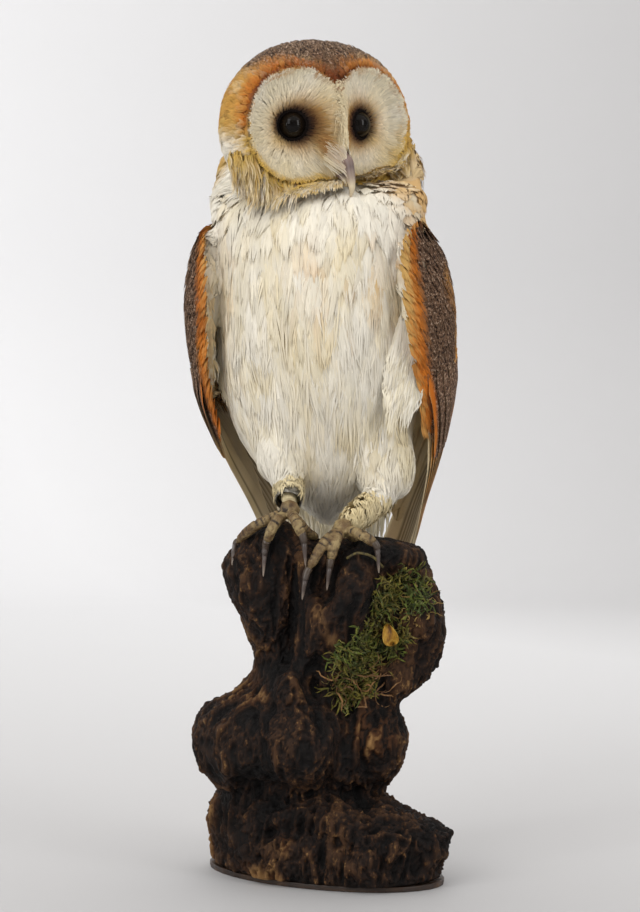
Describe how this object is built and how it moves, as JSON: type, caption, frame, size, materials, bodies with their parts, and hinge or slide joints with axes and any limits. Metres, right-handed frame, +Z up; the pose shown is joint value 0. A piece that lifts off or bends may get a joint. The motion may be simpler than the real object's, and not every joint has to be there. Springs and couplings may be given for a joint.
{
  "type": "taxidermy barn owl",
  "caption": "Mounted barn owl standing upright with folded wings and turned head, gripping a gnarled root fixed to a thin oval board.",
  "frame": {"origin": "on the underside of the board, below the middle of the root", "axes": "+Z up; the owl's breast and the front of the mount face -Y; the owl's own left is +X"},
  "size_m": [0.1551, 0.1564, 0.4741],
  "materials": {
    "head_plumage": "soft feathers, matt",
    "body_plumage": "silky white feathers, matt",
    "wing_coverts": "speckled grey and ochre feathers, matt",
    "flight_feathers": "barred buff feathers, slight sheen",
    "tail_feathers": "pale buff feathers, slight sheen",
    "leg_down": "short down, matt",
    "toe_skin": "dry scaled skin",
    "claw": "smooth dark horn",
    "bill": "smooth pale horn",
    "eye": "polished black glass",
    "ring_metal": "dull, worn",
    "root_wood": "dark rough bark and bare wood",
    "moss": "dry strands, matt",
    "board_wood": "dull varnish"
  },
  "bodies": {
    "root": {"bill_lower": "bill", "bill_upper": "bill", "claw_left_inner": "claw", "claw_left_middle": "claw", "claw_left_outer": "claw", "claw_right_inner": "claw", "claw_right_middle": "claw", "claw_right_outer": "claw", "eye_left": "eye", "eye_right": "eye", "foot_left": "toe_skin", "foot_right": "toe_skin", "head": "head_plumage", "leg_ring": "ring_metal", "mount_board": "board_wood", "mount_moss": "moss", "mount_root": "root_wood", "neck": "body_plumage", "tail": "tail_feathers", "tarsus_left": "leg_down", "tarsus_right": "leg_down", "thigh_left": "body_plumage", "thigh_right": "body_plumage", "toe_left_hind": "toe_skin", "toe_left_inner": "toe_skin", "toe_left_middle": "toe_skin", "toe_left_outer": "toe_skin", "toe_right_hind": "toe_skin", "toe_right_inner": "toe_skin", "toe_right_middle": "toe_skin", "toe_right_outer": "toe_skin", "trunk": "body_plumage", "wing_left_coverts": "wing_coverts", "wing_left_primaries": "flight_feathers", "wing_left_secondaries": "flight_feathers", "wing_right_coverts": "wing_coverts", "wing_right_primaries": "flight_feathers", "wing_right_secondaries": "flight_feathers"}
  },
  "joints": []
}
